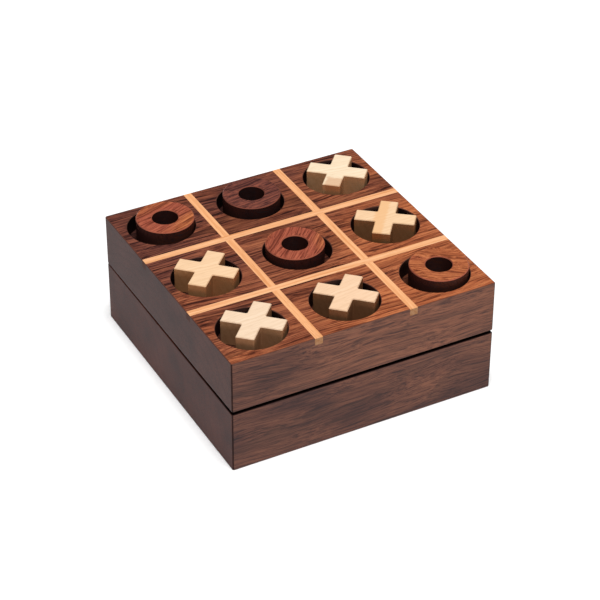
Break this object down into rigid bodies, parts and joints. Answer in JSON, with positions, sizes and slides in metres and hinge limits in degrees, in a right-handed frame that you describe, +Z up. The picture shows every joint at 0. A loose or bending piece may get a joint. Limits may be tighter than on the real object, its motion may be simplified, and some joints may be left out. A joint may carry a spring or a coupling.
{
  "type": "tic-tac-toe game box",
  "caption": "Square hinged hardwood box whose thick inlaid lid is a tic-tac-toe board with round pockets holding wooden crosses and rings.",
  "frame": {"origin": "middle of the base's underside, on the surface the box stands on", "axes": "+X to the right along the front, +Y towards the hinged back, +Z up"},
  "size_m": [0.127, 0.1311, 0.0597],
  "materials": {
    "dark_rosewood": "oiled dark red-brown rosewood, satin",
    "inlay_maple": "pale peach-coloured straight-grained strips, sanded flush",
    "cross_wood": "pale cream wood, fine sanded",
    "ring_rosewood": "turned red-brown rosewood, satin",
    "brass": "plain bright brass"
  },
  "bodies": {
    "base": {"base_box": "dark_rosewood", "hinge_left_base_leaf": "brass", "hinge_left_pin": "brass", "hinge_right_base_leaf": "brass", "hinge_right_pin": "brass", "base_screws": "brass"},
    "lid": {"lid_board": "dark_rosewood", "long_strip_front": "inlay_maple", "long_strip_back": "inlay_maple", "short_strip_left_front": "inlay_maple", "short_strip_left_middle": "inlay_maple", "short_strip_left_back": "inlay_maple", "short_strip_right_front": "inlay_maple", "short_strip_right_middle": "inlay_maple", "short_strip_right_back": "inlay_maple", "hinge_left_lid_leaf": "brass", "hinge_right_lid_leaf": "brass", "lid_screws": "brass"},
    "cross_back_right": {"cross_back_right": "cross_wood"},
    "cross_middle_left": {"cross_middle_left": "cross_wood"},
    "cross_middle_right": {"cross_middle_right": "cross_wood"},
    "cross_front_left": {"cross_front_left": "cross_wood"},
    "cross_front_middle": {"cross_front_middle": "cross_wood"},
    "ring_back_left": {"ring_back_left": "ring_rosewood"},
    "ring_back_middle": {"ring_back_middle": "ring_rosewood"},
    "ring_centre": {"ring_centre": "ring_rosewood"},
    "ring_front_right": {"ring_front_right": "ring_rosewood"}
  },
  "joints": [
    {"name": "lid_hinge", "type": "hinge", "parent": "base", "child": "lid", "pos_m": [0, 0.06565, 0.0295], "axis": [-1, 0, 0], "range_deg": [0, 110]},
    {"name": "lift_cross_back_right", "type": "slide", "parent": "lid", "child": "cross_back_right", "axis": [0, 0.0079, 1], "range_m": [0, 0.014]},
    {"name": "lift_cross_middle_left", "type": "slide", "parent": "lid", "child": "cross_middle_left", "axis": [0, 0.0079, 1], "range_m": [0, 0.014]},
    {"name": "lift_cross_middle_right", "type": "slide", "parent": "lid", "child": "cross_middle_right", "axis": [0, 0.0079, 1], "range_m": [0, 0.014]},
    {"name": "lift_cross_front_left", "type": "slide", "parent": "lid", "child": "cross_front_left", "axis": [0, 0.0079, 1], "range_m": [0, 0.014]},
    {"name": "lift_cross_front_middle", "type": "slide", "parent": "lid", "child": "cross_front_middle", "axis": [0, 0.0079, 1], "range_m": [0, 0.014]},
    {"name": "lift_ring_back_left", "type": "slide", "parent": "lid", "child": "ring_back_left", "axis": [0, 0.0079, 1], "range_m": [0, 0.014]},
    {"name": "lift_ring_back_middle", "type": "slide", "parent": "lid", "child": "ring_back_middle", "axis": [0, 0.0079, 1], "range_m": [0, 0.014]},
    {"name": "lift_ring_centre", "type": "slide", "parent": "lid", "child": "ring_centre", "axis": [0, 0.0079, 1], "range_m": [0, 0.014]},
    {"name": "lift_ring_front_right", "type": "slide", "parent": "lid", "child": "ring_front_right", "axis": [0, 0.0079, 1], "range_m": [0, 0.014]}
  ]
}
